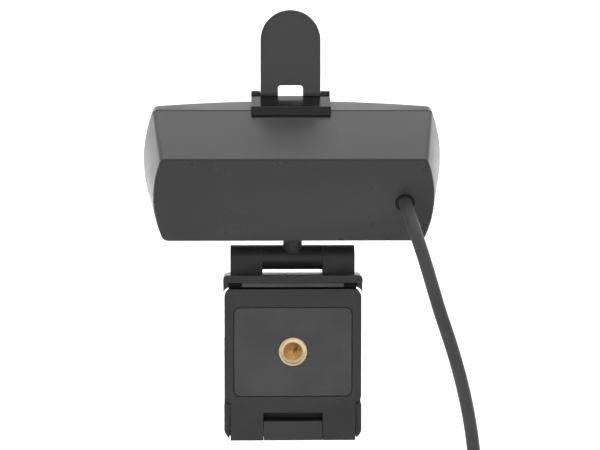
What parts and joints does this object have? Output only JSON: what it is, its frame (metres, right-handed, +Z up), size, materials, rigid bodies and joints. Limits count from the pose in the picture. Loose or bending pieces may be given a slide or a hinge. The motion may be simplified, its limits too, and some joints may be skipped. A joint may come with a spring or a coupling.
{
  "type": "webcam on folding clip",
  "caption": "Rectangular webcam with a flip-up lens flap and USB cable, on a folding screen clip with a brass tripod thread.",
  "frame": {"origin": "mouth of the tripod thread, in the outer face of the clip's foot plate", "axes": "+Z up with the clip folded shut and its plate upright, +Y towards the lens side, the tripod thread opens towards -Y"},
  "size_m": [0.0901, 0.0553, 0.2579],
  "materials": {
    "housing_plastic": "fine satin moulded texture, dark grey",
    "cap_plastic": "satin, dark grey",
    "panel_gloss": "glossy black",
    "ring_metal": "satin anodised",
    "barrel_plastic": "matt black",
    "lens_glass": "coated, clear",
    "filter_glass": "clear, faint tint",
    "sensor": "glossy dark silicon",
    "board": "green solder mask",
    "chip": "matt black",
    "can_metal": "plain",
    "led": "moulded clear",
    "light_pipe": "frosted clear",
    "screw_steel": "zinc plated",
    "white_nylon": "natural nylon",
    "cable_jacket": "satin flexible jacket, dark grey",
    "gland_rubber": "matt",
    "bracket_gloss": "semi-gloss black",
    "tape": "foam tape",
    "flap_plastic": "semi-gloss dark grey",
    "clip_plastic": "satin moulded, dark grey",
    "washer_nylon": "matt",
    "pad_rubber": "matt, soft",
    "pin_steel": "bright",
    "brass": "turned, bright",
    "tie_strap": "matt",
    "plug_plastic": "satin moulded",
    "plug_shell": "nickel plated"
  },
  "bodies": {
    "foot": {"foot_plate": "clip_plastic", "foot_pad": "pad_rubber", "tripod_nut": "brass", "foot_pin": "pin_steel"},
    "arm": {"clip_arm": "clip_plastic", "lip_pad": "pad_rubber", "tilt_pin": "pin_steel"},
    "stem": {"swivel_stem": "clip_plastic", "swivel_washer": "washer_nylon", "swivel_screw": "screw_steel"},
    "camera": {"rear_shell": "housing_plastic", "front_cap": "cap_plastic", "front_panel": "panel_gloss", "lens_ring": "ring_metal", "lens_barrel": "barrel_plastic", "front_lens": "lens_glass", "rear_lens": "lens_glass", "ir_filter": "filter_glass", "lens_holder": "barrel_plastic", "image_sensor": "sensor", "main_board": "board", "camera_processor": "chip", "microphones": "can_metal", "status_led": "led", "led_pipe": "light_pipe", "board_screws": "screw_steel", "shell_screws": "screw_steel", "usb_header": "white_nylon", "lead_plug": "white_nylon", "inner_lead": "cable_jacket", "cable_grommet": "gland_rubber", "flap_mount": "bracket_gloss", "flap_mount_tape": "tape", "cable_lead": "cable_jacket", "cable_hank": "cable_jacket", "cable_tie": "tie_strap", "cable_tail": "cable_jacket", "usb_plug_body": "plug_plastic", "usb_plug_shell": "plug_shell", "usb_plug_tongue": "white_nylon"},
    "flap": {"privacy_flap": "flap_plastic"}
  },
  "joints": [
    {"name": "foot_hinge", "type": "hinge", "parent": "foot", "child": "arm", "pos_m": [0, 0.0027, -0.022], "axis": [-1, 0, 0], "range_deg": [0, 100]},
    {"name": "camera_tilt", "type": "hinge", "parent": "arm", "child": "stem", "pos_m": [0, 0.0078, 0.0252], "axis": [1, 0, 0], "range_deg": [-114, 36]},
    {"name": "camera_pan", "type": "hinge", "parent": "stem", "child": "camera", "pos_m": [0, 0.0078, 0.0252], "axis": [0, -0.4067, 0.9135], "range_deg": [-180, 180]},
    {"name": "flap_hinge", "type": "hinge", "parent": "camera", "child": "flap", "pos_m": [-0.0005, 0.00805, 0.06975], "axis": [1, 0, 0], "range_deg": [-156, 0]}
  ]
}
